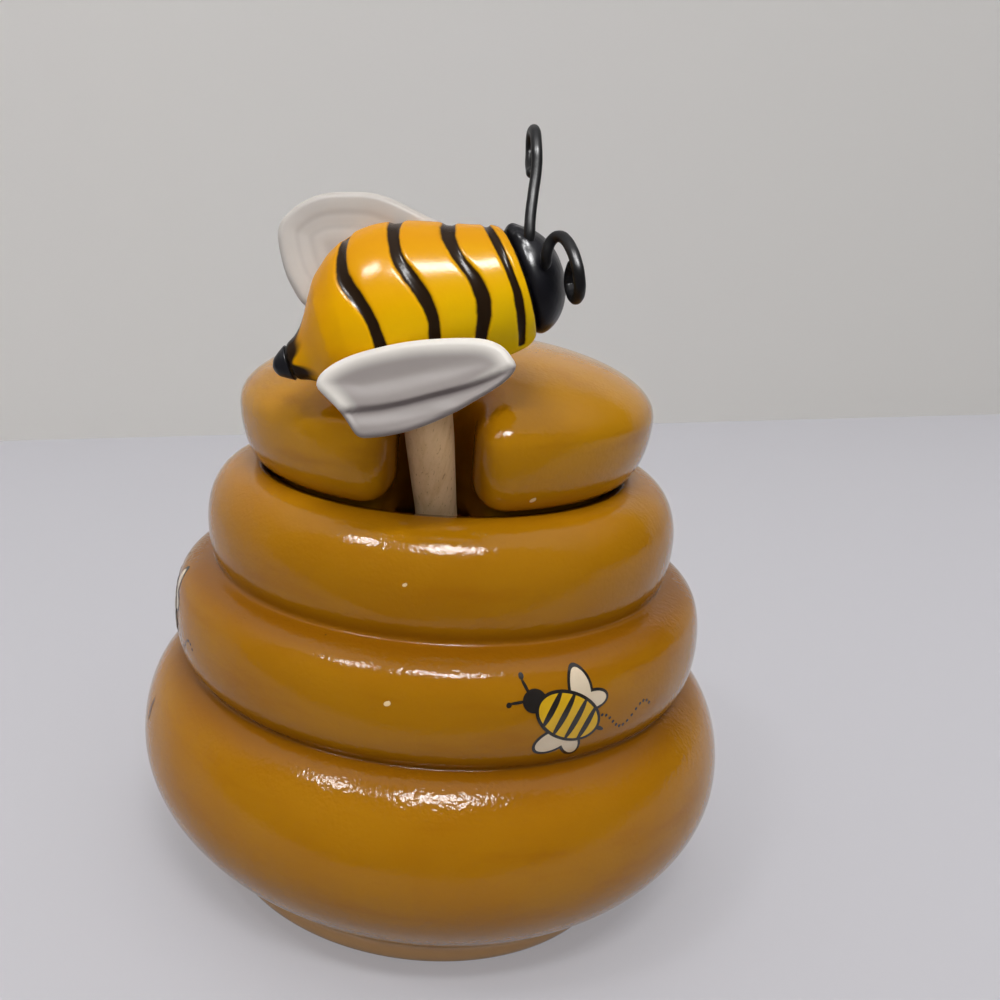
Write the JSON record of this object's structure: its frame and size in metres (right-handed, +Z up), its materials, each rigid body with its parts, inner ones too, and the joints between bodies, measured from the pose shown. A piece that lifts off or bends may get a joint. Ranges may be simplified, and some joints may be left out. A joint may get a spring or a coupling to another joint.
{
  "type": "honey jar with dipper",
  "caption": "Ceramic honey jar shaped like a straw beehive, with a notched lift-off lid and a wooden dipper whose top carries a painted bee.",
  "frame": {"origin": "on the pot's axis, in the plane that the foot stands on", "axes": "+Z up the pot's axis; the lid's notch faces -Y and the bee's head points to +X"},
  "size_m": [0.12, 0.12, 0.148],
  "materials": {
    "glaze": "gloss amber brown glaze",
    "wood": "bare pale turned wood",
    "bee_yellow": "semi-gloss yellow paint with dark grooves",
    "bee_black": "gloss black paint",
    "wing_white": "satin white paint",
    "antenna_wire": "satin black wire"
  },
  "bodies": {
    "jar": {"jar_body": "glaze"},
    "lid": {"lid": "glaze"},
    "dipper": {"honey_dipper": "wood", "bee_body": "bee_yellow", "bee_head": "bee_black", "bee_stinger": "bee_black", "right_wing": "wing_white", "left_wing": "wing_white", "right_antenna": "antenna_wire", "left_antenna": "antenna_wire"}
  },
  "joints": [
    {"name": "lid_lift", "type": "slide", "parent": "jar", "child": "lid", "axis": [0, 0, 1], "range_m": [0, 0.09]},
    {"name": "dipper_lift", "type": "slide", "parent": "lid", "child": "dipper", "axis": [-0.1269, -0.1757, 0.9762], "range_m": [0, 0.036]}
  ]
}
